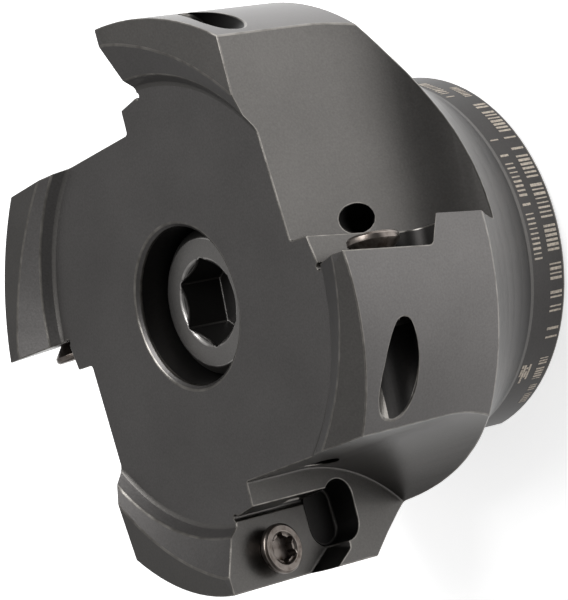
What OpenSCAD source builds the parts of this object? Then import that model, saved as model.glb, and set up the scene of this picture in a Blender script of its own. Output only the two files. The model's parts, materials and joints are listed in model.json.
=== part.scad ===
// Indexable face mill, four insert seats, with its arbor lock screw and insert screws.
// Axis along Z. Z = 0 is the hub's rear mounting face and +Z points to the cutting face.
// Tooth 0 has the front outer corner of its insert seat on the +X axis.
// Every tooth leads towards +Y seen from the front, as on a right-hand cutter.

/* [Cutter head] */
// radius of the outer cylinder of the head
body_r = 37; // [33:0.1:42]
// height of the teeth's front corner above the mounting face
body_h = 47.5; // [44:0.1:56]
// height of the recessed front disc
disc_z = 43.9; // [42:0.1:45]
// radius where the teeth's inner step meets the disc
step_foot_r = 28.6; // [27:0.1:30]
// radius of the step's upper edge
step_top_r = 29.8; // [28:0.1:31.5]
// height of the step above the disc
step_h = 1.5; // [0.5:0.1:2]
// radius where the sloping front of a tooth turns flat
front_flat_r = 34.6; // [32:0.1:36]
// fall of the tooth's outer front edge towards its back, in degrees
relief_fall = 5.8; // [2:0.1:9]
// tilt of the same relief plane across the tooth, in degrees
relief_tilt = 3.3; // [1:0.1:6]

/* [Back of the head and hub] */
// height where the outer cylinder ends and the back begins
back_z = 24.4; // [20:0.1:26]
// depth of the hollow in the back, seen in section
back_sag = 0.9; // [0.2:0.1:1.6]
// radius of the hub
hub_r = 24.7; // [22:0.1:27]
// height of the hub's cylindrical band
hub_h = 6.5; // [5.7:0.1:9]
// chamfer on the hub's rear edge
hub_chamfer = 0.5; // [0.2:0.1:1]

/* [Gullets] */
// width of the gullet from the outer corner to its flat
gullet_w = 13.2; // [12:0.1:14.5]
// turn of that flat about the axis, in degrees
gullet_turn = 4; // [0:0.5:8]
// radius of the gullet's curved run-out
gullet_r = 24; // [18:0.5:32]
// height where the run-out begins
gullet_z = 35; // [32:0.5:38]

/* [Insert seats] */
// axial rake of the seat, in degrees
seat_axial = 5.5; // [0:0.5:10]
// radial rake of the seat, in degrees
seat_radial = 2; // [-4:0.5:6]
// width of the seat from the outer corner to the radial wall
seat_w = 9.4; // [8:0.1:10]
// lean of the radial wall, in degrees
wall_lean = 10; // [0:1:20]
// height of the ledge above the seat's floor
ledge_h = 3.8; // [3:0.1:5]
// radial rake of the ledge, in degrees
ledge_turn = 0; // [-4:0.5:4]
// length of the seat at the slanting end wall's inner end
seat_l = 18.4; // [17:0.1:20]
// length of the seat at the outer corner
seat_l_outer = 13.9; // [13:0.1:15.5]
// distance of the end wall's inner end from the outer corner
end_wall_u = 2.9; // [2.3:0.1:3.5]
// lean of the end wall, in degrees
end_lean = 12; // [0:1:20]
// diameter of the corner relief
relief_d = 5; // [4:0.1:6]
// depth of the corner relief below the seat
relief_drop = 0.4; // [0.2:0.1:1.2]
// radius of the groove along the foot of the radial wall
groove_r = 0.4; // [0.3:0.05:0.8]

/* [Insert screws] */
// thread radius of an insert screw
iscrew_r = 2; // [1.6:0.05:2.3]
// radius of the screw's head
iscrew_head_r = 3.25; // [2.8:0.05:3.5]
// distance of the screw from the outer corner, inwards
iscrew_u = 4.15; // [3.8:0.05:4.8]
// distance of the screw from the outer corner, rearwards
iscrew_v = 8.4; // [7.5:0.1:9.5]
// height of the head's top above the seat's floor
iscrew_proud = 2.4; // [1.9:0.1:3]
// radius over the lobes of the screw's socket
lobe_r = 2.1; // [1.4:0.05:2.2]
// length of the screw below the seat's floor
iscrew_len = 8; // [6:0.5:9]
// depth of the tapped stretch below the seat's floor
tap_len = 8.2; // [7:0.2:10]
// radius of the wider bore behind the tapped stretch
relief_bore_r = 2.8; // [2.4:0.05:2.9]
// lean of the second cut at that bore's exit, towards the front, in degrees
exit_lean = 5.5; // [3:0.5:7]
// depth below the seat's floor where that cut leaves the bore
exit_depth = 12.5; // [11:0.5:15]

/* [Arbor screw and bores] */
// radius of the lock screw's thread
lscrew_r = 6.35; // [5:0.05:7]
// radius of the lock screw's head
lscrew_head_r = 9.5; // [8.5:0.05:9.8]
// height of the lock screw's head
lscrew_head_h = 12.7; // [10:0.1:13]
// distance from the front disc down to the top of the head
lscrew_recess = 3.6; // [2:0.1:5]
// length of the lock screw below its head
lscrew_len = 16; // [12:0.5:17]
// across-flats width of the hex socket
hex_af = 10.1; // [8:0.1:11]
// depth of the hex socket
hex_depth = 6.5; // [4:0.5:8]
// turn of the hex socket, in degrees
hex_turn = 25; // [0:1:60]
// gap round the head in its counterbore
cbore_gap = 0.7; // [0.4:0.05:1.2]
// chamfer at the mouth of the counterbore
cbore_chamfer = 0.6; // [0.3:0.1:1]
// radius of the arbor's pilot bore
pilot_r = 12.7; // [11:0.05:13.5]
// depth of the pilot bore
pilot_depth = 21; // [19:0.5:22]
// radius of the relief that parts the pilot bore's two lands
pilot_relief_r = 13.2; // [12.9:0.05:14]
// width of the drive key slot across the rear face
key_w = 9.6; // [8:0.1:11]
// depth of the drive key slot
key_d = 5.2; // [4:0.1:5.5]
// radius of a coolant hole
cool_r = 1.85; // [1.2:0.05:2]
// height of a coolant hole's outlet
cool_z = 32.4; // [31:0.1:34]
// distance of the outlet from the seat's radial line
cool_y = 4.75; // [4.5:0.1:6]
// rise of the coolant hole towards the cutting edge, in degrees
cool_rise = 51; // [46:1:54]

/* [Clearances] */
// clearance around each thread in its hole
thread_clear = 0.05; // [0.02:0.01:0.09]

/* [Hidden] */
$fn = 96;
// the four seats are named in NODES, so their number is fixed
teeth = 4;
pitch = 360 / teeth;
far = 2 * body_r;
// the back is a run of cones between the hub and the outer cylinder, sagging towards the axis
back_steps = 6;
back_slope = atan2(back_z - hub_h, body_r - hub_r);
back_points = [for (i = [1 : back_steps - 1])
    let (t = i / back_steps, sag = 4 * back_sag * t * (1 - t))
    [
        hub_r + (body_r - hub_r) * t - sag * sin(back_slope),
        hub_h + (back_z - hub_h) * t + sag * cos(back_slope)
    ]];
gullet_x = body_r - gullet_w - 0.5;
// lock screw and its bores
cbore_r = lscrew_head_r + cbore_gap;
lscrew_top = disc_z - lscrew_recess;
lscrew_seat = lscrew_top - lscrew_head_h;
lscrew_end = lscrew_seat - lscrew_len;
pilot_land = lscrew_end - 2;
pilot_chamfer = 0.8;
steel = "#4a4848";
screw_steel = "#3a3838";
screw_bronze = "#6b5048";

// places its children on tooth k's front corner: X outwards, Y rearwards, Z the way the tooth leads
module on_rake(k, radial) {
    rotate([0, 0, pitch * k])
        translate([body_r, 0, body_h])
            rotate([-90 - seat_axial, 0, 0])
                rotate([0, -radial, 0])
                    children();
}

// the same on the floor of the insert seat
module on_seat(k) {
    on_rake(k, seat_radial)
        children();
}

// half section of the turned blank
module blank_section() {
    polygon(concat(
        [
            [0, 0],
            [hub_r - hub_chamfer, 0],
            [hub_r, hub_chamfer],
            [hub_r, hub_h]
        ],
        back_points,
        [
            [body_r, back_z],
            [body_r, body_h],
            [front_flat_r, body_h],
            [step_top_r, disc_z + step_h],
            [step_foot_r, disc_z],
            [0, disc_z]
        ]
    ));
}

// section of a gullet: a flat that runs out in a concave curve towards the hub
module gullet_section() {
    run_out = body_h - gullet_z;
    translate([-gullet_w, -far])
        square([far, far + run_out]);
    translate([gullet_r - gullet_w, run_out])
        circle(r = gullet_r, $fn = 120);
}

// the space in front of tooth k's ledge
module gullet(k) {
    intersection() {
        on_rake(k, gullet_turn)
            linear_extrude(far)
                gullet_section();
        on_rake(k, ledge_turn)
            translate([-far, -far, ledge_h])
                cube(2 * far);
    }
}

// the space in front of the seat's slanting end wall
module end_wall_space() {
    translate([0, seat_l_outer, 0])
        rotate([0, 0, atan2(seat_l_outer - seat_l, end_wall_u)])
            rotate([-end_lean, 0, 0])
                translate([-far, -2 * far, -far])
                    cube(2 * far);
}

// the space outside the seat's radial wall
module radial_wall_space() {
    translate([-seat_w, 0, 0])
        rotate([0, -wall_lean, 0])
            translate([0, -far, -far])
                cube(2 * far);
}

// outline of the corner relief at the seat's inner end
module relief_outline() {
    r = relief_d / 2;
    inner = -(end_wall_u + 8.1 - r);
    outer = -(end_wall_u + r);
    translate([inner, seat_l])
        circle(r = r);
    translate([outer, seat_l])
        circle(r = r);
    translate([inner, seat_l - r])
        square([outer - inner, relief_d]);
}

// everything milled for the insert and its screw on tooth k
module seat(k) {
    on_seat(k) {
        // floor and walls
        intersection() {
            translate([-far, -far / 2, 0])
                cube([far + 2, far / 2 + seat_l, ledge_h + 1]);
            end_wall_space();
            radial_wall_space();
        }
        // corner relief
        translate([0, 0, -relief_drop])
            linear_extrude(relief_drop + ledge_h + 1)
                relief_outline();
        // recess in the inner half of the radial wall
        translate([-seat_w - ledge_h * tan(wall_lean), seat_l / 2 + 1.6, 0])
            cube([2, seat_l / 2 - 4.6, ledge_h + 1]);
        // groove along the foot of the radial wall
        translate([-seat_w, -far / 4, groove_r / 4])
            rotate([-90, 0, 0])
                cylinder(r = groove_r, h = far / 4 + seat_l, $fn = 32);
        // tapped hole, and the wider bore that leaves through the outer cylinder
        translate([-iscrew_u, iscrew_v, -tap_len])
            cylinder(r = iscrew_r + thread_clear, h = tap_len + 1);
        translate([-iscrew_u, iscrew_v, -far / 2])
            cylinder(r = relief_bore_r, h = far / 2 - tap_len);
        // a second pass of a slightly smaller drill, which leans towards the front
        translate([-iscrew_u, iscrew_v, -exit_depth])
            rotate([-exit_lean, 0, 0])
                translate([0, 0, -far / 2])
                    cylinder(r = relief_bore_r - 0.1, h = far / 2);
    }
}

// relief plane behind the front corner of tooth k
module corner_relief(k) {
    rotate([0, 0, pitch * k])
        translate([body_r, 0, body_h])
            rotate([relief_fall, relief_tilt, 0])
                translate([-far / 4, -far * 0.4, 0])
                    cube([far / 2, far * 0.4, far / 8]);
}

// coolant hole from the pilot bore to the gullet of tooth k
module coolant_hole(k) {
    rotate([0, 0, pitch * k])
        translate([gullet_x, cool_y, cool_z])
            rotate([0, 90 - cool_rise, 0])
                translate([0, 0, -(gullet_x - pilot_r / 1.3) / cos(cool_rise)])
                    cylinder(r = cool_r, h = far / 2, $fn = 48);
}

// counterbore, bolt hole and pilot bore on the axis
module axis_bores() {
    translate([0, 0, lscrew_seat])
        cylinder(r = cbore_r, h = far);
    translate([0, 0, disc_z - cbore_chamfer])
        cylinder(r1 = cbore_r, r2 = cbore_r + 2 * cbore_chamfer, h = 2 * cbore_chamfer);
    translate([0, 0, pilot_depth - 1])
        cylinder(r = lscrew_r + thread_clear, h = far);
    translate([0, 0, -1])
        cylinder(r = pilot_r, h = pilot_depth + 1);
    translate([0, 0, pilot_land])
        cylinder(r = pilot_relief_r, h = (pilot_depth - pilot_land) / 2);
    translate([0, 0, -pilot_chamfer])
        cylinder(r1 = pilot_r + 2 * pilot_chamfer, r2 = pilot_r, h = 2 * pilot_chamfer);
}

module cutter_body() {
    color(steel)
        difference() {
            rotate_extrude()
                blank_section();
            for (k = [0 : teeth - 1]) {
                gullet(k);
                seat(k);
                corner_relief(k);
                coolant_hole(k);
            }
            axis_bores();
            translate([-key_w / 2, -far, -1])
                cube([key_w, 2 * far, key_d + 1]);
        }
}

// socket head cap screw that holds the cutter on its arbor
module arbor_screw() {
    rim = 1.1;
    color(screw_steel)
        difference() {
            union() {
                translate([0, 0, lscrew_seat])
                    cylinder(r = lscrew_head_r, h = lscrew_head_h - rim);
                translate([0, 0, lscrew_top - rim])
                    cylinder(r1 = lscrew_head_r, r2 = lscrew_head_r - rim, h = rim);
                translate([0, 0, lscrew_end + 1])
                    cylinder(r = lscrew_r, h = lscrew_len);
                translate([0, 0, lscrew_end])
                    cylinder(r1 = lscrew_r - 1, r2 = lscrew_r, h = 1);
            }
            translate([0, 0, lscrew_top - hex_depth])
                rotate([0, 0, hex_turn])
                    cylinder(r = hex_af / sqrt(3), h = hex_depth + 1, $fn = 6);
            translate([0, 0, lscrew_top - 0.6])
                cylinder(r1 = hex_af / 2, r2 = hex_af / 2 + 1.4, h = 1.4);
        }
}

// six-lobed socket of an insert screw
module lobe_outline() {
    tip = lobe_r * 0.22;
    circle(r = lobe_r * 0.78);
    for (i = [0 : 5])
        rotate([0, 0, 60 * i])
            translate([lobe_r - tip, 0])
                circle(r = tip, $fn = 24);
}

// insert screw on the seat of tooth k
module insert_screw(k) {
    crown = 0.3;
    band = 0.6;
    cone = iscrew_proud - crown - band - thread_clear;
    color(screw_bronze)
        on_seat(k)
            translate([-iscrew_u, iscrew_v, 0])
                difference() {
                    union() {
                        translate([0, 0, 0.5 - iscrew_len])
                            cylinder(r = iscrew_r, h = iscrew_len + iscrew_proud - 1);
                        translate([0, 0, -iscrew_len])
                            cylinder(r1 = iscrew_r - 0.5, r2 = iscrew_r, h = 0.5);
                        translate([0, 0, iscrew_proud - crown - band - cone])
                            cylinder(r1 = iscrew_r, r2 = iscrew_head_r, h = cone);
                        translate([0, 0, iscrew_proud - crown - band])
                            cylinder(r = iscrew_head_r, h = band);
                        translate([0, 0, iscrew_proud - crown])
                            cylinder(r1 = iscrew_head_r, r2 = iscrew_head_r - crown, h = crown);
                    }
                    translate([0, 0, iscrew_proud - 1.6])
                        linear_extrude(2)
                            lobe_outline();
                    // countersink at the socket's mouth
                    translate([0, 0, iscrew_proud - 0.3])
                        cylinder(r1 = lobe_r - 0.2, r2 = lobe_r + 0.4, h = 0.6);
                }
}

cutter_body();
arbor_screw();
insert_screw(0);  // insert_screw_1
insert_screw(1);  // insert_screw_2
insert_screw(2);  // insert_screw_3
insert_screw(3);  // insert_screw_4
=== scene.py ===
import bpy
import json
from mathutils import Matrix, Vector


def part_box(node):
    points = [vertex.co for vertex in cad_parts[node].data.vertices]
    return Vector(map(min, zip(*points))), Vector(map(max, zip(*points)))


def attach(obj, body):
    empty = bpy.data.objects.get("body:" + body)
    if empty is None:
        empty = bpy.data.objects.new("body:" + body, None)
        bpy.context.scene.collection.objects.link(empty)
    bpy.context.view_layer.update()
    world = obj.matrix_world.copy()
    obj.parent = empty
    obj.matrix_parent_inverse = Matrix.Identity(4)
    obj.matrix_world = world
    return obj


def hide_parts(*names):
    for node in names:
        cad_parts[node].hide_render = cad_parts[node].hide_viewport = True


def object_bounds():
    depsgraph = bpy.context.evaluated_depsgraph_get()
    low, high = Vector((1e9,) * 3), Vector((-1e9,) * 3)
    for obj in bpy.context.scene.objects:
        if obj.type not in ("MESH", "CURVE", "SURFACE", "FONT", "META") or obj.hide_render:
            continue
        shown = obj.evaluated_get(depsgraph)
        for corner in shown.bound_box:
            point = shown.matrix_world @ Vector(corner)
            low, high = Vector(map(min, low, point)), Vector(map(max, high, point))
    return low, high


bl_info = {
    "name": "Face Mill",
    "version": (1, 0, 0),
    "blender": (4, 5, 0),
    "location": "3D View > Sidebar > Face Mill",
    "description": "Finishes the steel body, screws and laser marks of an indexable face mill",
    "category": "Object",
}

import json
import math

import bmesh
import bpy
from bpy.props import FloatProperty, FloatVectorProperty, IntProperty, PointerProperty
from mathutils import Matrix, Vector

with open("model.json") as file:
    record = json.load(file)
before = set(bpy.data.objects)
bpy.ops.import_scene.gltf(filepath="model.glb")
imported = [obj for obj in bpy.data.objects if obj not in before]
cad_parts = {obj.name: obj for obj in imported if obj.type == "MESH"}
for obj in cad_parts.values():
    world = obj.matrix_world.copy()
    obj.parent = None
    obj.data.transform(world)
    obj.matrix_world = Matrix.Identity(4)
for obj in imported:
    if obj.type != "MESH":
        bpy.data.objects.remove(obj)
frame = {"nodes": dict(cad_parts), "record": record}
CAD_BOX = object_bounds()
MM = 0.001
TEETH = 4
# a point nearer to the axis than this says nothing about a direction round it
NEAR_AXIS = 1 * MM
# a cut thread's depth as a share of its pitch
THREAD_DEPTH = 0.6
# the body's material slots, in the order in which they are added: the holes' and the hub's are darkened as
# painted shade, and the drill exit's is lightened as a painted highlight
TURNED, MILLED, RUBBED, SHADED_HOLE, SHADED_HUB, EXIT_HIGHLIGHT = range(6)
# a screw's material slots after the first, which is its finish
SCREW_RUBBED, SCREW_SHADED_SOCKET = 1, 2


# ---------------------------------------------------------------- colours and nodes


def linear(hexcode):
    """sRGB hex to linear RGB."""
    out = []
    for i in (1, 3, 5):
        c = int(hexcode[i : i + 2], 16) / 255
        out.append(c / 12.92 if c <= 0.04045 else ((c + 0.055) / 1.055) ** 2.4)
    return tuple(out)


def mixed(colour, share):
    """The colour made darker or lighter by a share."""
    return tuple(c * share for c in colour)


def colour_prop(name, description, hexcode):
    """A colour setting whose default is an sRGB hex value."""
    return FloatVectorProperty(
        name=name, description=description, subtype="COLOR", size=3, min=0, max=1, default=linear(hexcode)
    )


def add_node(tree, kind, settings=None, inputs=None, stops=()):
    """Adds a node, sets its properties, sets or links its inputs, and sets a ramp's stops, each of
    which is a position and a linear colour."""
    node = tree.nodes.new(kind)
    for key, value in (settings or {}).items():
        setattr(node, key, value)
    for key, value in (inputs or {}).items():
        socket = node.inputs[key]
        if isinstance(value, bpy.types.NodeSocket):
            tree.links.new(value, socket)
        else:
            socket.default_value = value
    if stops:
        elements = node.color_ramp.elements
        while len(elements) < len(stops):
            elements.new(0.5)
        for element, (position, colour) in zip(elements, stops):
            element.position = position
            element.color = (*colour, 1)
    return node


def new_material(name, metallic, roughness):
    """A node material with its Principled shader's plain values set."""
    mat = bpy.data.materials.new(name)
    mat.use_nodes = True
    tree = mat.node_tree
    shader = tree.nodes["Principled BSDF"]
    shader.inputs["Metallic"].default_value = metallic
    shader.inputs["Roughness"].default_value = roughness
    return mat, tree, shader


# ---------------------------------------------------------------- materials


def oxide_steel(name, colour, roughness, grain, turned):
    """Black oxide on hardened tool steel: a thin magnetite coat that keeps the cutter marks of the
    metal below. The eye sees a satin dark grey with a fine even grain, and on turned faces faint rings."""
    mat, tree, shader = new_material(name, 1.0, roughness)
    where = add_node(tree, "ShaderNodeTexCoord").outputs["Object"]
    # the salt bath leaves cloudy patches a centimetre or so across
    cloud_width = 11 * MM
    cloud = add_node(
        tree, "ShaderNodeTexNoise", inputs={"Vector": where, "Scale": 1 / cloud_width, "Detail": 3.0}
    )
    speckle = add_node(
        tree, "ShaderNodeTexNoise", inputs={"Vector": where, "Scale": 1 / grain, "Detail": 2.0}
    ).outputs["Fac"]
    clouded = add_node(tree, "ShaderNodeMath", {"operation": "MULTIPLY"}, {0: cloud.outputs["Fac"], 1: 0.45})
    uneven = add_node(
        tree, "ShaderNodeMath", {"operation": "MULTIPLY_ADD"}, {0: speckle, 1: 0.55, 2: clouded.outputs[0]}
    ).outputs[0]
    tone = add_node(
        tree,
        "ShaderNodeValToRGB",
        inputs={"Fac": uneven},
        stops=[(0.3, mixed(colour, 0.86)), (0.5, colour), (0.7, mixed(colour, 1.15))],
    ).outputs["Color"]
    height = speckle
    # turned faces also get painted shade towards the hub
    if turned:
        tone, height = turned_rings_and_shade(tree, where, tone, speckle)
    tree.links.new(tone, shader.inputs["Base Color"])
    bump = add_node(
        tree, "ShaderNodeBump", inputs={"Strength": 0.35, "Distance": 0.02 * MM, "Height": height}
    )
    tree.links.new(bump.outputs["Normal"], shader.inputs["Normal"])
    wear = add_node(
        tree,
        "ShaderNodeMapRange",
        inputs={"Value": uneven, "To Min": roughness - 0.05, "To Max": roughness + 0.05},
    )
    tree.links.new(wear.outputs["Result"], shader.inputs["Roughness"])
    return mat


def turned_rings_and_shade(tree, where, tone, speckle):
    """What turned faces add to the oxide: its tone, darkened as painted shade towards the corner between the
    head and the hub, and its height with the lathe's rings.
    """
    parts = add_node(tree, "ShaderNodeSeparateXYZ", inputs={"Vector": where}).outputs
    # painted shade: the oxide's tone darkens towards the corner between the head and the hub
    shade_low, shade_high = 6 * MM, 17 * MM
    shaded = add_node(
        tree,
        "ShaderNodeMapRange",
        {"interpolation_type": "SMOOTHSTEP"},
        {"Value": parts["Z"], "From Min": shade_low, "From Max": shade_high, "To Min": 0.3},
    )
    darker = add_node(
        tree, "ShaderNodeVectorMath", {"operation": "SCALE"}, {0: tone, "Scale": shaded.outputs["Result"]}
    )
    # feed marks depend on radius and height alone, so they run round the axis
    flat = add_node(tree, "ShaderNodeCombineXYZ", inputs={"X": parts["X"], "Y": parts["Y"]})
    radius = add_node(tree, "ShaderNodeVectorMath", {"operation": "LENGTH"}, {0: flat.outputs[0]})
    ring = add_node(
        tree, "ShaderNodeCombineXYZ", inputs={"X": radius.outputs["Value"], "Y": parts["Z"]}
    )
    # real feed is about 0.1 mm a turn, drawn four times as coarse so that it shows
    feed_width = 0.4 * MM
    feed = add_node(
        tree,
        "ShaderNodeTexNoise",
        inputs={"Vector": ring.outputs[0], "Scale": 1 / feed_width, "Detail": 3.0},
    )
    height = add_node(
        tree, "ShaderNodeMath", {"operation": "MULTIPLY_ADD"}, {0: feed.outputs["Fac"], 1: 0.6, 2: speckle}
    )
    return darker.outputs[0], height.outputs[0]


def rubbed_edge(name, colour, roughness):
    """The same steel where handling has rubbed the oxide thin: lighter and a little smoother, in
    patches a millimetre or two across."""
    mat, tree, shader = new_material(name, 1.0, roughness)
    where = add_node(tree, "ShaderNodeTexCoord").outputs["Object"]
    patch_width = 1.6 * MM
    patch = add_node(
        tree, "ShaderNodeTexNoise", inputs={"Vector": where, "Scale": 1 / patch_width, "Detail": 4.0}
    )
    tone = add_node(
        tree,
        "ShaderNodeValToRGB",
        inputs={"Fac": patch.outputs["Fac"]},
        stops=[(0.35, mixed(colour, 0.72)), (0.65, mixed(colour, 1.2))],
    )
    tree.links.new(tone.outputs["Color"], shader.inputs["Base Color"])
    return mat


def screw_finish(name, colour, dark, roughness):
    """Heat-tempered screw steel: a smooth rolled surface with a bronze-brown oxide that the furnace
    leaves uneven, lighter in places and darker in others."""
    mat, tree, shader = new_material(name, 1.0, roughness)
    where = add_node(tree, "ShaderNodeTexCoord").outputs["Object"]
    patch_width = 1.2 * MM
    patch = add_node(
        tree, "ShaderNodeTexNoise", inputs={"Vector": where, "Scale": 1 / patch_width, "Detail": 4.0}
    )
    tone = add_node(
        tree,
        "ShaderNodeValToRGB",
        inputs={"Fac": patch.outputs["Fac"]},
        stops=[(0.3, dark), (0.52, colour), (0.72, mixed(colour, 1.25))],
    )
    tree.links.new(tone.outputs["Color"], shader.inputs["Base Color"])
    # the rolled surface's own grain
    fine_width = 0.15 * MM
    fine = add_node(
        tree, "ShaderNodeTexNoise", inputs={"Vector": where, "Scale": 1 / fine_width, "Detail": 2.0}
    )
    bump = add_node(
        tree,
        "ShaderNodeBump",
        inputs={"Strength": 0.25, "Distance": 0.01 * MM, "Height": fine.outputs["Fac"]},
    )
    tree.links.new(bump.outputs["Normal"], shader.inputs["Normal"])
    return mat


def laser_mark(name, colour):
    """Laser-annealed marking: the beam turns the oxide pale and matt, slightly uneven along its strokes."""
    mat, tree, shader = new_material(name, 0.0, 0.65)
    where = add_node(tree, "ShaderNodeTexCoord").outputs["Object"]
    dot_width = 0.3 * MM
    dots = add_node(
        tree, "ShaderNodeTexNoise", inputs={"Vector": where, "Scale": 1 / dot_width, "Detail": 3.0}
    )
    tone = add_node(
        tree,
        "ShaderNodeValToRGB",
        inputs={"Fac": dots.outputs["Fac"]},
        stops=[(0.35, mixed(colour, 0.6)), (0.6, colour)],
    )
    tree.links.new(tone.outputs["Color"], shader.inputs["Base Color"])
    return mat


def paper_floor(name, colour, glow):
    """Matt seamless background paper: nearly white, without a pattern that shows at this distance.
    It lies on a light table, which keeps the shadows pale. The table gives no light where the hub
    stands on it, ends towards -Y, and is darkest at its corner towards +X and -Y."""
    mat, tree, shader = new_material(name, 0.0, 0.95)
    where = add_node(tree, "ShaderNodeTexCoord").outputs["Object"]
    fibre_width = 4 * MM
    fibre = add_node(
        tree, "ShaderNodeTexNoise", inputs={"Vector": where, "Scale": 1 / fibre_width, "Detail": 3.0}
    )
    tone = add_node(
        tree,
        "ShaderNodeValToRGB",
        inputs={"Fac": fibre.outputs["Fac"]},
        stops=[(0.3, mixed(colour, 0.995)), (0.7, colour)],
    )
    tree.links.new(tone.outputs["Color"], shader.inputs["Base Color"])
    parts = add_node(tree, "ShaderNodeSeparateXYZ", inputs={"Vector": where}).outputs
    flat = add_node(tree, "ShaderNodeCombineXYZ", inputs={"X": parts["X"], "Y": parts["Y"]})
    reach = add_node(tree, "ShaderNodeVectorMath", {"operation": "LENGTH"}, {0: flat.outputs[0]})
    # how far a place is towards that corner, where X counts no further than its limit
    x_limit, x_share, y_share = 70 * MM, 0.45, -0.89
    right = add_node(tree, "ShaderNodeMath", {"operation": "MINIMUM"}, {0: parts["X"], 1: x_limit})
    along = add_node(
        tree, "ShaderNodeMath", {"operation": "MULTIPLY"}, {0: right.outputs[0], 1: x_share}
    ).outputs[0]
    aside = add_node(
        tree, "ShaderNodeMath", {"operation": "MULTIPLY_ADD"}, {0: parts["Y"], 1: y_share, 2: along}
    )
    # where the glow ends and where it is whole: round the hub, towards -Y, and at the corner
    lit = glow
    for distance, dark, bright in (
        (reach.outputs["Value"], 21.5 * MM, 23.5 * MM),
        (parts["Y"], -63 * MM, -46 * MM),
        (aside.outputs[0], 75 * MM, 41 * MM),
    ):
        edge = add_node(
            tree,
            "ShaderNodeMapRange",
            {"interpolation_type": "SMOOTHSTEP"},
            {"Value": distance, "From Min": dark, "From Max": bright},
        )
        lit = add_node(
            tree, "ShaderNodeMath", {"operation": "MULTIPLY"}, {0: edge.outputs["Result"], 1: lit}
        ).outputs[0]
    shader.inputs["Emission Color"].default_value = (*colour, 1)
    tree.links.new(lit, shader.inputs["Emission Strength"])
    return mat


# ---------------------------------------------------------------- mesh helpers


def copy_of_node(node, name):
    """A merged copy of a CAD node's mesh, with its flat faces made whole."""
    mesh = frame["nodes"][node].data.copy()
    mesh.name = name
    mesh.materials.clear()
    bm = bmesh.new()
    bm.from_mesh(mesh)
    bmesh.ops.remove_doubles(bm, verts=bm.verts, dist=0.0005 * MM)
    bmesh.ops.dissolve_limit(bm, angle_limit=math.radians(1.0), verts=bm.verts, edges=bm.edges)
    bm.to_mesh(mesh)
    bm.free()
    mesh.validate()
    obj = bpy.data.objects.new(name, mesh)
    bpy.context.scene.collection.objects.link(obj)
    return obj


def baked(obj):
    """Applies obj's modifiers, and returns it with a plain mesh."""
    graph = bpy.context.evaluated_depsgraph_get()
    graph.update()
    mesh = bpy.data.meshes.new_from_object(obj.evaluated_get(graph), depsgraph=graph)
    obj.modifiers.clear()
    obj.data = mesh
    return obj


def bevel(obj, width, angle, material, hollow=1.0, inner=0, turned=()):
    """Rounds obj's edges that are sharper than angle, hollow ones by another share of the width,
    gives outer roundings the material of that index and hollow ones that of inner, and keeps the
    flat faces' shading flat. Faces with a material in turned meet their neighbours in crisp lines."""
    bm = bmesh.new()
    bm.from_mesh(obj.data)
    weight = bm.edges.layers.float.new("bevel_weight_edge")
    most = max(hollow, 1.0)
    for edge in bm.edges:
        if len(edge.link_faces) == 2 and edge.calc_face_angle(0) > math.radians(angle):
            edge[weight] = (1.0 if edge.is_convex else hollow) / most
    bm.to_mesh(obj.data)
    bm.free()
    mod = obj.modifiers.new("edge rounding", "BEVEL")
    mod.width = width * most
    mod.segments = 2
    mod.limit_method = "WEIGHT"
    mod.use_clamp_overlap = False
    mod.miter_outer = "MITER_ARC"
    mod.material = material
    baked(obj)
    bm = bmesh.new()
    bm.from_mesh(obj.data)
    for face in bm.faces:
        if face.material_index == material:
            # a rounding in a hollow bends inwards
            bend = sum(e.calc_face_angle_signed(0) * e.calc_length() for e in face.edges if e.is_manifold)
            if bend < 0:
                face.material_index = inner
    bm.to_mesh(obj.data)
    bm.free()
    # a square corner's rounding of two segments bends by 30 degrees at each line, and shades smooth
    smooth(obj, angle + 14, material, turned)
    even = obj.modifiers.new("even shading", "WEIGHTED_NORMAL")
    even.mode = "FACE_AREA_WITH_ANGLE"
    # large faces lead, so they look flat
    even.weight = 90
    even.keep_sharp = True
    return baked(obj)


def crisp(edge, material, turned):
    """Whether a shallow edge parts a turned face from a milled one, or two turned surfaces. The edges
    of a rounding, which has that material, are never crisp."""
    first, second = edge.link_faces
    if material in (first.material_index, second.material_index):
        return False
    inside = [face.material_index in turned for face in (first, second)]
    if all(inside):
        return abs(first.normal.z - second.normal.z) > 0.02
    return any(inside) and edge.calc_face_angle(0) > math.radians(1.5)


def smooth(obj, angle, material, turned):
    """Shades obj smooth except across edges sharper than angle and at the borders of turned faces."""
    bm = bmesh.new()
    bm.from_mesh(obj.data)
    for face in bm.faces:
        face.smooth = True
    for edge in bm.edges:
        edge.smooth = len(edge.link_faces) == 2 and edge.calc_face_angle(0) < math.radians(angle)
        if edge.smooth and turned and crisp(edge, material, turned):
            edge.smooth = False
    bm.to_mesh(obj.data)
    bm.free()


def true_turned_normals(obj, indices, rim):
    """Gives faces of these materials the exact normals of the turned surface that they stand for.
    Faces on the outer cylinder of radius rim may be slivers, whose own normals say little. Faces
    square to the axis keep theirs, and so do those that look along the turning."""
    mesh = obj.data
    normals = [n.vector.copy() for n in mesh.corner_normals]
    for polygon in mesh.polygons:
        centre = Vector((polygon.center.x, polygon.center.y, 0))
        if polygon.material_index not in indices or centre.length < NEAR_AXIS:
            continue
        outward = polygon.normal.dot(centre.normalized())
        rise = polygon.normal.z
        if all(math.hypot(*mesh.vertices[i].co.xy) > rim - 0.06 * MM for i in polygon.vertices):
            outward, rise = 1, 0
        if abs(rise) > 0.999 or abs(outward) < 0.05:
            continue
        level = math.copysign(math.sqrt(1 - rise**2), outward)
        for corner in polygon.loop_indices:
            place = mesh.vertices[mesh.loops[corner].vertex_index].co
            away = Vector((place.x, place.y, 0)).normalized() * level
            normals[corner] = Vector((away.x, away.y, rise))
    mesh.normals_split_custom_set(normals)


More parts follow.
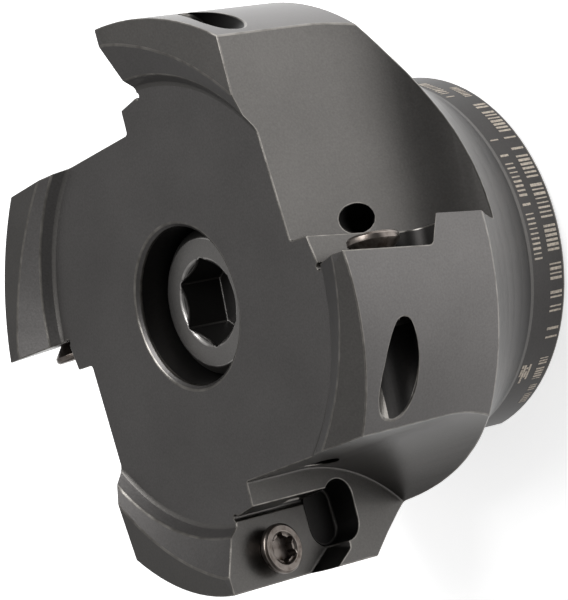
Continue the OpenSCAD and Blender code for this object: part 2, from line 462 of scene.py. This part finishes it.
def inside_hole(corners, normal, point, axis, reach, ahead):
    """Whether a face with these corners is part of the wall of a hole along axis: no corner is
    further than reach from the axis, or further along it than ahead past point."""
    if abs(normal.dot(axis)) > 0.2:
        return False
    for corner in corners:
        away = corner - point
        if away.cross(axis).length > reach or away.dot(axis) > ahead:
            return False
    return True


def finished(obj, body, node=None):
    """Rides obj on a body, in place of a CAD node."""
    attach(obj, body)
    if node:
        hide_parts(node)
    return obj


def axis_frame(point, direction):
    """A matrix that carries the origin to point and +Z along direction."""
    return Matrix.Translation(point) @ direction.to_track_quat("Z", "Y").to_matrix().to_4x4()


def tooth_turn(number):
    """The turn that carries the first tooth, number 0, to another."""
    return Matrix.Rotation(math.radians(360 / TEETH * number), 4, "Z")


def seat_frame(number, corner, axial, radial):
    """The matrix of an insert seat: X outwards, Y rearwards, Z off its floor, from its outer corner."""
    return (
        tooth_turn(number)
        @ Matrix.Translation(corner)
        @ Matrix.Rotation(math.radians(-90) - axial, 4, "X")
        @ Matrix.Rotation(-radial, 4, "Y")
    )


def seat_axis(number):
    """(point on the seat's floor, direction off it) of an insert screw, from the record's mount."""
    for mount in frame["record"]["mounts"]:
        if mount["name"] == f"insert_seat_{number + 1}":
            return Vector(mount["pos_m"]), Vector(mount["axis"]).normalized()
    raise RuntimeError(f"the record has no mount insert_seat_{number + 1}")


def thread_tree():
    """A thread ridge: a spiral with a trapezium section swept along it."""
    tree = bpy.data.node_groups.new("Thread ridge", "GeometryNodeTree")
    face = tree.interface
    face.new_socket("Geometry", in_out="INPUT", socket_type="NodeSocketGeometry")
    for label, kind in (
        ("Root radius", "NodeSocketFloat"),
        ("Length", "NodeSocketFloat"),
        ("Turns", "NodeSocketFloat"),
        ("Ridge width", "NodeSocketFloat"),
        ("Crest width", "NodeSocketFloat"),
        ("Ridge height", "NodeSocketFloat"),
        ("Points in a turn", "NodeSocketInt"),
        ("Finish", "NodeSocketMaterial"),
    ):
        face.new_socket(label, in_out="INPUT", socket_type=kind)
    face.new_socket("Geometry", in_out="OUTPUT", socket_type="NodeSocketGeometry")
    entry = add_node(tree, "NodeGroupInput").outputs
    spiral = add_node(
        tree,
        "GeometryNodeCurveSpiral",
        inputs={
            "Resolution": entry["Points in a turn"],
            "Rotations": entry["Turns"],
            "Start Radius": entry["Root radius"],
            "End Radius": entry["Root radius"],
            "Height": entry["Length"],
        },
    )
    upright = add_node(
        tree, "GeometryNodeSetCurveNormal", {"mode": "Z_UP"}, {"Curve": spiral.outputs["Curve"]}
    )
    section = add_node(
        tree,
        "GeometryNodeCurvePrimitiveQuadrilateral",
        {"mode": "TRAPEZOID"},
        {
            "Bottom Width": entry["Ridge width"],
            "Top Width": entry["Crest width"],
            "Height": entry["Ridge height"],
            "Offset": 0.0,
        },
    )
    # the section's base goes just inside the root and its crest points away from the axis
    turned = add_node(
        tree,
        "GeometryNodeTransform",
        inputs={"Geometry": section.outputs["Curve"], "Rotation": (0, 0, math.radians(-90))},
    )
    ridge = add_node(
        tree,
        "GeometryNodeCurveToMesh",
        inputs={
            "Curve": upright.outputs["Curve"],
            "Profile Curve": turned.outputs["Geometry"],
            "Fill Caps": True,
        },
    )
    whole = add_node(tree, "GeometryNodeRealizeInstances", inputs={"Geometry": ridge.outputs["Mesh"]})
    painted = add_node(
        tree,
        "GeometryNodeSetMaterial",
        inputs={"Geometry": whole.outputs["Geometry"], "Material": entry["Finish"]},
    )
    add_node(tree, "NodeGroupOutput", inputs={"Geometry": painted.outputs["Geometry"]})
    return tree


def from_tree(tree, name, values):
    """A plain mesh made by a geometry node tree, with its named inputs set to values."""
    obj = bpy.data.objects.new(name, bpy.data.meshes.new(name))
    bpy.context.scene.collection.objects.link(obj)
    mod = obj.modifiers.new("nodes", "NODES")
    mod.node_group = tree
    for item in tree.interface.items_tree:
        if item.in_out == "INPUT" and item.name in values:
            mod[item.identifier] = values[item.name]
    baked(obj)
    finish = [mat for mat in obj.data.materials if mat]
    obj.data.materials.clear()
    for mat in finish:
        obj.data.materials.append(mat)
    for polygon in obj.data.polygons:
        polygon.material_index = 0
    return obj


def marks_tree():
    """A row of thin upright bars round a cylinder, with some left out. A bar's own width is from 0.6
    to 1.5 times the width that is set."""
    tree = bpy.data.node_groups.new("Row of marks", "GeometryNodeTree")
    face = tree.interface
    for label, kind in (
        ("Radius", "NodeSocketFloat"),
        ("First angle", "NodeSocketFloat"),
        ("Angle covered", "NodeSocketFloat"),
        ("Bars", "NodeSocketInt"),
        ("Height on the hub", "NodeSocketFloat"),
        ("Bar height", "NodeSocketFloat"),
        ("Bar width", "NodeSocketFloat"),
        ("Thickness", "NodeSocketFloat"),
        ("Share kept", "NodeSocketFloat"),
        ("Seed", "NodeSocketInt"),
        ("Finish", "NodeSocketMaterial"),
    ):
        face.new_socket(label, in_out="INPUT", socket_type=kind)
    face.new_socket("Geometry", in_out="OUTPUT", socket_type="NodeSocketGeometry")
    entry = add_node(tree, "NodeGroupInput").outputs
    points = add_node(tree, "GeometryNodePoints", inputs={"Count": entry["Bars"]})
    number = add_node(tree, "GeometryNodeInputIndex").outputs[0]
    share = add_node(tree, "ShaderNodeMath", {"operation": "DIVIDE"}, {0: number, 1: entry["Bars"]})
    angle = add_node(
        tree,
        "ShaderNodeMath",
        {"operation": "MULTIPLY_ADD"},
        {0: share.outputs[0], 1: entry["Angle covered"], 2: entry["First angle"]},
    ).outputs[0]
    place = add_node(tree, "ShaderNodeCombineXYZ", inputs={"Z": entry["Height on the hub"]})
    for axis, operation in (("X", "COSINE"), ("Y", "SINE")):
        part = add_node(tree, "ShaderNodeMath", {"operation": operation}, {0: angle})
        reach = add_node(
            tree, "ShaderNodeMath", {"operation": "MULTIPLY"}, {0: part.outputs[0], 1: entry["Radius"]}
        )
        tree.links.new(reach.outputs[0], place.inputs[axis])
    placed = add_node(
        tree,
        "GeometryNodeSetPosition",
        inputs={"Geometry": points.outputs[0], "Position": place.outputs[0]},
    )
    keep = add_node(
        tree,
        "FunctionNodeRandomValue",
        {"data_type": "BOOLEAN"},
        {"Probability": entry["Share kept"], "Seed": entry["Seed"]},
    )
    uneven = add_node(
        tree, "FunctionNodeRandomValue", {"data_type": "FLOAT"}, {2: 0.6, 3: 1.5, "Seed": entry["Seed"]}
    )
    width = add_node(
        tree,
        "ShaderNodeMath",
        {"operation": "MULTIPLY"},
        {0: uneven.outputs[1], 1: entry["Bar width"]},
    )
    size = add_node(
        tree,
        "ShaderNodeCombineXYZ",
        inputs={"X": entry["Thickness"], "Y": width.outputs[0], "Z": entry["Bar height"]},
    )
    turn = add_node(tree, "ShaderNodeCombineXYZ", inputs={"Z": angle})
    bar = add_node(tree, "GeometryNodeMeshCube", inputs={"Size": (1, 1, 1)})
    bars = add_node(
        tree,
        "GeometryNodeInstanceOnPoints",
        inputs={
            "Points": placed.outputs[0],
            "Selection": keep.outputs[3],
            "Instance": bar.outputs["Mesh"],
            "Rotation": turn.outputs[0],
            "Scale": size.outputs[0],
        },
    )
    whole = add_node(tree, "GeometryNodeRealizeInstances", inputs={"Geometry": bars.outputs[0]})
    painted = add_node(
        tree,
        "GeometryNodeSetMaterial",
        inputs={"Geometry": whole.outputs[0], "Material": entry["Finish"]},
    )
    add_node(tree, "NodeGroupOutput", inputs={"Geometry": painted.outputs["Geometry"]})
    return tree


def join_into(obj, others):
    """Adds the others' meshes to obj's, keeping materials by name, and removes the others."""
    for other in others:
        index = {}
        for i, mat in enumerate(other.data.materials):
            if mat.name not in obj.data.materials:
                obj.data.materials.append(mat)
            index[i] = obj.data.materials.find(mat.name)
        for polygon in other.data.polygons:
            polygon.material_index = index.get(polygon.material_index, 0)
        bm = bmesh.new()
        bm.from_mesh(obj.data)
        bm.from_mesh(other.data)
        bm.to_mesh(obj.data)
        bm.free()
        bpy.data.objects.remove(other)


def seen_from(place, obj):
    """The points of obj in the frame of place."""
    inverse = place.inverted()
    return [inverse @ vertex.co for vertex in obj.data.vertices]


def turn_down(obj, place, root, top):
    """Turns obj down to radius root round the axis of place, below height top."""
    for vertex, local in zip(obj.data.vertices, seen_from(place, obj)):
        reach = math.hypot(local.x, local.y)
        if local.z < top and reach > root:
            vertex.co = place @ Vector((local.x * root / reach, local.y * root / reach, local.z))


def thread_on(obj, place, root, crest, pitch, low, high, finish):
    """Wraps a thread between heights low and high round the axis of place, and joins it to obj."""
    # the ridge starts this far inside the root, so that the two meshes overlap
    sunk = 0.04 * MM
    height = crest - root + sunk
    ridge = from_tree(
        bpy.data.node_groups.get("Thread ridge") or thread_tree(),
        obj.name + "_thread",
        {
            "Root radius": root - sunk + height / 2,
            "Length": high - low,
            "Turns": (high - low) / pitch,
            "Ridge width": pitch * 0.86,
            "Crest width": pitch * 0.14,
            "Ridge height": height,
            "Points in a turn": 40,
            "Finish": finish,
        },
    )
    ridge.data.transform(place @ Matrix.Translation((0, 0, low)))
    bm = bmesh.new()
    bm.from_mesh(ridge.data)
    bmesh.ops.recalc_face_normals(bm, faces=bm.faces)
    for face in bm.faces:
        face.smooth = False
    bm.to_mesh(ridge.data)
    bm.free()
    join_into(obj, [ridge])


# ---------------------------------------------------------------- settings


class BodySettings(bpy.types.PropertyGroup):
    edge_width: FloatProperty(
        name="Edge rounding",
        description="Width of the rounding on the body's edges",
        default=0.2 * MM,
        unit="LENGTH",
    )
    corner: FloatVectorProperty(
        name="Seat corner",
        description="Outer front corner of the first insert seat",
        size=3,
        default=(CAD_BOX[1].x, 0.0, CAD_BOX[1].z),
        unit="LENGTH",
    )
    axial: FloatProperty(
        name="Axial rake", description="Axial rake of the seats", default=math.radians(5.5), unit="ROTATION"
    )
    radial: FloatProperty(
        name="Radial rake", description="Radial rake of the seats", default=math.radians(2), unit="ROTATION"
    )
    relief_low: FloatVectorProperty(
        name="Corner relief, low",
        description="Low corner of a box round the seat's corner relief, in the seat's frame",
        size=3,
        default=(-11.3 * MM, 15.7 * MM, -0.5 * MM),
        unit="LENGTH",
    )
    relief_high: FloatVectorProperty(
        name="Corner relief, high",
        description="High corner of the same box",
        size=3,
        default=(-2.7 * MM, 21.2 * MM, 4.6 * MM),
        unit="LENGTH",
    )
    hub_reach: FloatProperty(
        name="Hub", description="Just over the hub's radius", default=24.9 * MM, unit="LENGTH"
    )
    hub_top: FloatProperty(
        name="Hub band",
        description="Just over the height of the hub's band",
        default=6.7 * MM,
        unit="LENGTH",
    )
    coolant_place: FloatVectorProperty(
        name="Coolant hole",
        description="Where the first coolant hole comes out",
        size=3,
        default=(23.3 * MM, 4.75 * MM, 32.4 * MM),
        unit="LENGTH",
    )
    coolant_way: FloatVectorProperty(
        name="Coolant hole's way", description="The way it leads out", size=3, default=(0.63, 0.0, 0.777)
    )
    coolant_reach: FloatProperty(
        name="Coolant hole's reach", description="Just over its radius", default=2.0 * MM, unit="LENGTH"
    )
    coolant_ahead: FloatProperty(
        name="Coolant hole's mouth",
        description="How far its wall may go on past that place",
        default=6 * MM,
        unit="LENGTH",
    )
    screw_reach: FloatProperty(
        name="Screw hole's reach",
        description="Just over the radius of an insert screw's bore",
        default=2.84 * MM,
        unit="LENGTH",
    )
    exit_reach: FloatProperty(
        name="Drill exit's reach",
        description="Just over the greatest distance of the bore's second cut from its axis",
        default=4.2 * MM,
        unit="LENGTH",
    )
    exit_depth: FloatProperty(
        name="Drill exit's depth",
        description="A depth just above the place where the second cut begins",
        default=11 * MM,
        unit="LENGTH",
    )
    counterbore: FloatProperty(
        name="Counterbore",
        description="Just over the radius of the hole round the lock screw's head",
        default=10.3 * MM,
        unit="LENGTH",
    )
    counterbore_floor: FloatProperty(
        name="Counterbore's floor",
        description="A height below that hole's floor and above the pilot bore",
        default=20 * MM,
        unit="LENGTH",
    )
    grain: FloatProperty(
        name="Grain", description="Width of the oxide's grain", default=0.28 * MM, unit="LENGTH"
    )
    roughness: FloatProperty(
        name="Roughness", description="Roughness of the oxide", default=0.38, min=0, max=1
    )
    oxide: colour_prop("Oxide", "Reflected tone of the blackened steel", "#656362")
    edge: colour_prop("Rubbed edge", "Reflected tone of worn edges", "#7a7773")
    seat: colour_prop("Seat", "Reflected tone of the milled seats and gullets", "#5f5d5b")


class ScrewSettings(bpy.types.PropertyGroup):
    lock_pitch: FloatProperty(
        name="Lock screw pitch",
        description="Thread pitch of the lock screw",
        default=1.954 * MM,
        unit="LENGTH",
    )
    lock_edge: FloatProperty(
        name="Lock screw edges",
        description="Width of the rounding on the lock screw's edges",
        default=0.18 * MM,
        unit="LENGTH",
    )
    lock_grain: FloatProperty(
        name="Lock screw grain", description="Width of its oxide's grain", default=0.22 * MM, unit="LENGTH"
    )
    lock_neck: FloatProperty(
        name="Lock screw neck", description="Plain length under its head", default=1.2 * MM, unit="LENGTH"
    )
    socket_reach: FloatProperty(
        name="Socket's reach",
        description="Just over the hex socket's radius over corners",
        default=6.0 * MM,
        unit="LENGTH",
    )
    socket_depth: FloatProperty(
        name="Socket's depth",
        description="Just over the hex socket's depth",
        default=6.8 * MM,
        unit="LENGTH",
    )
    seat_pitch: FloatProperty(
        name="Insert screw pitch",
        description="Thread pitch of an insert screw",
        default=0.7 * MM,
        unit="LENGTH",
    )
    seat_edge: FloatProperty(
        name="Insert screw edges",
        description="Width of the rounding on an insert screw's edges",
        default=0.07 * MM,
        unit="LENGTH",
    )
    seat_thread_top: FloatProperty(
        name="Insert screw thread",
        description="Height of the thread's upper end over the seat's floor",
        default=-0.9 * MM,
        unit="LENGTH",
    )
    lock: colour_prop("Lock screw", "Reflected tone of the lock screw", "#807e7c")
    bronze: colour_prop("Insert screw", "Tempered tone of the insert screws", "#77706b")
    bronze_dark: colour_prop("Insert screw, dark", "Darker patches of the same", "#4b4038")


class MarkSettings(bpy.types.PropertyGroup):
    pale: colour_prop("Mark", "Tone of the laser marking", "#cfc3b4")
    count: IntProperty(name="Bars", description="Bars in the long row", default=58, min=8, max=120)
    radius: FloatProperty(
        name="Hub radius", description="Radius of the marked band", default=24.7 * MM, unit="LENGTH"
    )
    depth: FloatProperty(
        name="Stroke thickness", description="Thickness of the pale layer", default=0.03 * MM, unit="LENGTH"
    )


class StageSettings(bpy.types.PropertyGroup):
    paper: colour_prop("Paper", "Tone of the floor", "#f6f6f6")
    room: FloatProperty(name="Room", description="Strength of the light from all round", default=0.09)
    world: FloatProperty(name="Fill", description="Further strength towards the pale side", default=0.38)
    pale_side: FloatVectorProperty(
        name="Pale side",
        description="Direction of the room's pale side",
        size=3,
        default=(-0.55, -0.1, 0.83),
    )
    key: FloatProperty(name="Key", description="Power of the softbox", default=4.5, unit="POWER")
    key_place: FloatVectorProperty(
        name="Key's place",
        description="Where the softbox hangs",
        size=3,
        default=(0.08, 0.33, 0.60),
        unit="LENGTH",
    )
    key_size: FloatProperty(
        name="Key's size", description="Side of the softbox", default=0.5, unit="LENGTH"
    )
    table: FloatProperty(name="Light table", description="Glow of the floor from below", default=0.76)
    camera_place: FloatVectorProperty(
        name="Camera's place",
        description="Where the camera stands",
        size=3,
        default=(0.28988, -0.02332, 0.26166),
        unit="LENGTH",
    )
    camera_turn: FloatVectorProperty(
        name="Camera's turn",
        description="The camera's Euler angles",
        size=3,
        default=[math.radians(a) for a in (-13.812, 49.829, -22.113)],
        unit="ROTATION",
    )
    lens: FloatProperty(name="Lens", description="Focal length of the camera", default=171.1, unit="CAMERA")


# ---------------------------------------------------------------- operators


def in_box(corners, frame_of_box, low, high):
    """Whether every corner is inside the box from low to high in its own frame."""
    placed = [frame_of_box @ corner for corner in corners]
    return all(a < value < b for point in placed for value, a, b in zip(point, low, high))


def body_slot(s, corners, normal, holes, exits, seats):
    """The material slot of one of the body's faces."""
    reach = [math.hypot(co.x, co.y) for co in corners]
    heights = [co.z for co in corners]
    # a turned face's normal lies in the plane through the axis at each of its corners
    across = [
        abs(normal.y * co.x - normal.x * co.y) / r for co, r in zip(corners, reach) if r > NEAR_AXIS
    ]
    on_lathe = max(across, default=0) < 0.07
    upright = abs(normal.z) < 0.1
    if on_lathe and upright and max(reach) < s.counterbore and min(heights) > s.counterbore_floor:
        return SHADED_HOLE
    if min(reach) > s.corner[0] - 0.05 * MM:
        return TURNED
    if any(inside_hole(corners, normal, *hole) for hole in holes):
        return SHADED_HOLE
    if any(in_box(corners, seat, s.relief_low, s.relief_high) for seat in seats):
        return SHADED_HOLE
    if any(inside_hole(corners, normal, *hole) for hole in exits):
        return EXIT_HIGHLIGHT
    if not on_lathe:
        return MILLED
    outward = normal.x * corners[0].x + normal.y * corners[0].y > 0
    if outward and max(reach) < s.hub_reach and max(heights) < s.hub_top:
        return SHADED_HUB
    return TURNED


class FACEMILL_OT_body(bpy.types.Operator):
    """Rounds the body's edges and gives turned and milled faces their own oxide finish"""

    bl_idname = "facemill.body"
    bl_label = "Steel body"

    def execute(self, context):
        s = context.scene.facemill_body
        obj = copy_of_node("cutter_body", "body_finished")
        for mat in (
            oxide_steel("Black oxide steel, turned", s.oxide, s.roughness, s.grain, True),
            oxide_steel("Black oxide steel, milled", s.seat, s.roughness, s.grain, False),
            rubbed_edge("Black oxide steel, rubbed edge", s.edge, s.roughness - 0.08),
            # painted shade: the holes, the counterbore's wall and the seats' corner reliefs get the oxide at
            # 0.3 of its tone
            oxide_steel("Black oxide steel, drilled and oily", mixed(s.oxide, 0.3), 0.5, s.grain, False),
            # painted shade: the ground hub band next to the floor gets the oxide at half its tone
            oxide_steel("Black oxide steel, ground hub with painted shade", mixed(s.oxide, 0.5), 0.42, s.grain, False),
            # painted highlight: the second cut of each seat's screw bore gets the rubbed-edge tone made half
            # again as light
            oxide_steel("Black oxide steel, drill exit with painted highlight", mixed(s.edge, 1.5), 0.34, s.grain, False),
        ):
            obj.data.materials.append(mat)
        holes = []
        exits = []
        seats = []
        for number in range(TEETH):
            point, direction = seat_axis(number)
            holes.append((point, direction, s.screw_reach, -0.1 * MM))
            exits.append((point, direction, s.exit_reach, -s.exit_depth))
            seats.append(seat_frame(number, s.corner, s.axial, s.radial).inverted())
            spin = tooth_turn(number).to_3x3()
            way = spin @ Vector(s.coolant_way).normalized()
            holes.append((spin @ Vector(s.coolant_place), way, s.coolant_reach, s.coolant_ahead))
        for polygon in obj.data.polygons:
            corners = [obj.data.vertices[i].co for i in polygon.vertices]
            polygon.material_index = body_slot(s, corners, polygon.normal, holes, exits, seats)
        bevel(obj, s.edge_width, 21, RUBBED, hollow=1.8, inner=MILLED, turned=(TURNED, SHADED_HUB))
        true_turned_normals(obj, (TURNED, SHADED_HUB), s.corner[0])
        finished(obj, "cutter", "cutter_body")
        return {"FINISHED"}


class FACEMILL_OT_lock_screw(bpy.types.Operator):
    """Finishes the socket head lock screw and cuts its thread"""

    bl_idname = "facemill.lock_screw"
    bl_label = "Lock screw"

    def execute(self, context):
        s = context.scene.facemill_screw
        low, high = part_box("arbor_screw")
        obj = copy_of_node("arbor_screw", "lock_screw_finished")
        finish = oxide_steel("Black oxide screw steel", s.lock, 0.36, s.lock_grain, True)
        edge = rubbed_edge("Black oxide screw steel, rubbed edge", mixed(s.lock, 1.9), 0.3)
        # painted shade: the hex socket gets the screw's tone at 0.3
        dark = mixed(s.lock, 0.3)
        socket = oxide_steel("Black oxide screw steel, broached socket", dark, 0.5, s.lock_grain, False)
        for mat in (finish, edge, socket):
            obj.data.materials.append(mat)
        points = [vertex.co for vertex in obj.data.vertices]
        for polygon in obj.data.polygons:
            corners = [points[i] for i in polygon.vertices]
            reach = max(math.hypot(co.x, co.y) for co in corners)
            foot = min(co.z for co in corners)
            top = max(co.z for co in corners)
            on_face = top > high.z - 0.05 * MM and abs(polygon.normal.z) > 0.2
            if reach < s.socket_reach and foot > high.z - s.socket_depth and not on_face:
                polygon.material_index = SCREW_SHADED_SOCKET
        crest = max(math.hypot(co.x, co.y) for co in points if co.z < low.z + 3 * MM)
        root = crest - THREAD_DEPTH * s.lock_pitch
        # the head is as wide as the node, and its underside is its lowest wide place
        under_head = min(co.z for co in points if math.hypot(co.x, co.y) > 0.9 * high.x)
        axis = Matrix.Identity(4)
        turn_down(obj, axis, root, under_head - 1 * MM)
        bevel(obj, s.lock_edge, 28, SCREW_RUBBED)
        start = low.z + 0.6 * s.lock_pitch
        thread_on(obj, axis, root, crest, s.lock_pitch, start, under_head - s.lock_neck, finish)
        finished(obj, "arbor_screw", "arbor_screw")
        return {"FINISHED"}


class FACEMILL_OT_insert_screws(bpy.types.Operator):
    """Finishes the four insert screws and cuts their threads"""

    bl_idname = "facemill.insert_screws"
    bl_label = "Insert screws"

    def execute(self, context):
        s = context.scene.facemill_screw
        finish = screw_finish("Tempered screw steel", s.bronze, s.bronze_dark, 0.34)
        edge = rubbed_edge("Tempered screw steel, rubbed edge", mixed(s.bronze, 1.35), 0.3)
        for number in range(TEETH):
            node = f"insert_screw_{number + 1}"
            obj = copy_of_node(node, f"seat_screw_{number + 1}_finished")
            obj.data.materials.append(finish)
            obj.data.materials.append(edge)
            place = axis_frame(*seat_axis(number))
            points = seen_from(place, obj)
            end = min(p.z for p in points)
            crest = max(math.hypot(p.x, p.y) for p in points if p.z < end + 1 * MM)
            root = crest - THREAD_DEPTH * s.seat_pitch
            turn_down(obj, place, root, s.seat_thread_top)
            bevel(obj, s.seat_edge, 28, SCREW_RUBBED)
            start = end + 0.6 * s.seat_pitch
            thread_on(obj, place, root, crest, s.seat_pitch, start, s.seat_thread_top, finish)
            finished(obj, node, node)
        return {"FINISHED"}


class FACEMILL_OT_marks(bpy.types.Operator):
    """Lays the pale laser marking round the hub: two rows of plain bars, a block of cells, four groups"""

    bl_idname = "facemill.marks"
    bl_label = "Hub marking"

    def execute(self, context):
        s = context.scene.facemill_mark
        finish = laser_mark("Laser-annealed marking", s.pale)
        tree = marks_tree()
        # (first angle, angle covered, bars, foot, a bar's height, its width, share kept, seed) of each
        # row, in degrees and millimetres
        long_rows = [
            (46.0, -84.0, s.count, 1.0, 2.1, 0.27, 0.8, 3),
            (30.0, -44.0, s.count // 2, 4.25, 1.4, 0.22, 0.8, 8),
        ]
        cells = [(-46.0, -7.0, 9, 4.15 + 0.45 * i, 0.36, 0.42, 0.62, 11 + i) for i in range(4)]
        groups = [
            (64.0, -14.0, 11, 4.0, 1.5, 0.22, 0.9, 21),
            (57.0, -8.0, 8, 1.3, 1.3, 0.2, 0.9, 22),
            (-55.0, -9.0, 9, 1.2, 1.3, 0.2, 0.85, 23),
            (-44.0, -9.0, 9, 1.4, 1.5, 0.2, 0.9, 24),
        ]
        rows = [
            from_tree(
                tree,
                f"row_{seed}",
                {
                    "Radius": s.radius,
                    "First angle": math.radians(first),
                    "Angle covered": math.radians(cover),
                    "Bars": count,
                    "Height on the hub": (foot + height / 2) * MM,
                    "Bar height": height * MM,
                    "Bar width": width * MM,
                    "Thickness": s.depth,
                    "Share kept": kept,
                    "Seed": seed,
                    "Finish": finish,
                },
            )
            for first, cover, count, foot, height, width, kept, seed in long_rows + cells + groups
        ]
        obj = rows[0]
        obj.name = "hub_marks"
        join_into(obj, rows[1:])
        finished(obj, "cutter")
        return {"FINISHED"}


class FACEMILL_OT_stage(bpy.types.Operator):
    """Makes the pale floor, the soft studio light and the camera"""

    bl_idname = "facemill.stage"
    bl_label = "Stage"

    def execute(self, context):
        s = context.scene.facemill_stage
        scene = context.scene
        low, high = CAD_BOX
        # half the floor's side, in metres
        half = 4.0
        corners = [(x, y, low.z) for x, y in ((-half, -half), (half, -half), (half, half), (-half, half))]
        mesh = bpy.data.meshes.new("floor")
        mesh.from_pydata(corners, [], [(0, 1, 2, 3)])
        mesh.materials.append(paper_floor("Background paper", s.paper, s.table))
        floor = bpy.data.objects.new("floor", mesh)
        scene.collection.objects.link(floor)

        world = bpy.data.worlds.new("studio fill")
        world.use_nodes = True
        tree = world.node_tree
        # the room is darkest behind the camera, and palest overhead and beyond the cutter
        way = add_node(tree, "ShaderNodeTexCoord").outputs["Generated"]
        pale = Vector(s.pale_side).normalized()
        facing = add_node(tree, "ShaderNodeVectorMath", {"operation": "DOT_PRODUCT"}, {0: way, 1: pale})
        fill = add_node(
            tree,
            "ShaderNodeMapRange",
            inputs={"Value": facing.outputs["Value"], "To Min": s.room, "To Max": s.room + s.world},
        )
        back = tree.nodes["Background"]
        back.inputs["Color"].default_value = (1, 1, 1, 1)
        tree.links.new(fill.outputs["Result"], back.inputs["Strength"])
        scene.world = world

        data = bpy.data.lights.new("overhead softbox", "AREA")
        data.shape = "SQUARE"
        data.size = s.key_size
        data.energy = s.key
        lamp = bpy.data.objects.new("overhead softbox", data)
        lamp.location = s.key_place
        lamp.rotation_mode = "QUATERNION"
        middle = Vector((0, 0, high.z / 2))
        lamp.rotation_quaternion = (Vector(s.key_place) - middle).to_track_quat("Z", "Y")
        scene.collection.objects.link(lamp)

        data = bpy.data.cameras.new("camera")
        data.lens = s.lens
        data.sensor_width = 36
        data.clip_start = 0.01
        data.clip_end = 20
        camera = bpy.data.objects.new("camera", data)
        camera.location = s.camera_place
        camera.rotation_euler = s.camera_turn
        scene.collection.objects.link(camera)
        scene.camera = camera
        scene.view_settings.view_transform = "Standard"
        return {"FINISHED"}


class FACEMILL_PT_panel(bpy.types.Panel):
    """Lists the face mill's pieces and their sizes"""

    bl_idname = "FACEMILL_PT_panel"
    bl_label = "Face Mill"
    bl_space_type = "VIEW_3D"
    bl_region_type = "UI"
    bl_category = "Face Mill"

    def draw(self, context):
        for operator, settings in STEPS:
            box = self.layout.box()
            box.operator(operator.bl_idname)
            if settings:
                group = getattr(context.scene, settings)
                for name in type(group).__annotations__:
                    box.prop(group, name)


STEPS = (
    (FACEMILL_OT_body, "facemill_body"),
    (FACEMILL_OT_lock_screw, "facemill_screw"),
    (FACEMILL_OT_insert_screws, "facemill_screw"),
    (FACEMILL_OT_marks, "facemill_mark"),
    (FACEMILL_OT_stage, "facemill_stage"),
)
GROUPS = (
    ("facemill_body", BodySettings),
    ("facemill_screw", ScrewSettings),
    ("facemill_mark", MarkSettings),
    ("facemill_stage", StageSettings),
)


def register():
    for name, group in GROUPS:
        bpy.utils.register_class(group)
        setattr(bpy.types.Scene, name, PointerProperty(type=group))
    for operator, _ in STEPS:
        bpy.utils.register_class(operator)
    bpy.utils.register_class(FACEMILL_PT_panel)


def unregister():
    bpy.utils.unregister_class(FACEMILL_PT_panel)
    for operator, _ in reversed(STEPS):
        bpy.utils.unregister_class(operator)
    for name, group in reversed(GROUPS):
        delattr(bpy.types.Scene, name)
        bpy.utils.unregister_class(group)


def main():
    register()
    for operator, _ in STEPS:
        area, name = operator.bl_idname.split(".")
        getattr(getattr(bpy.ops, area), name)()


if __name__ == "__main__":
    main()
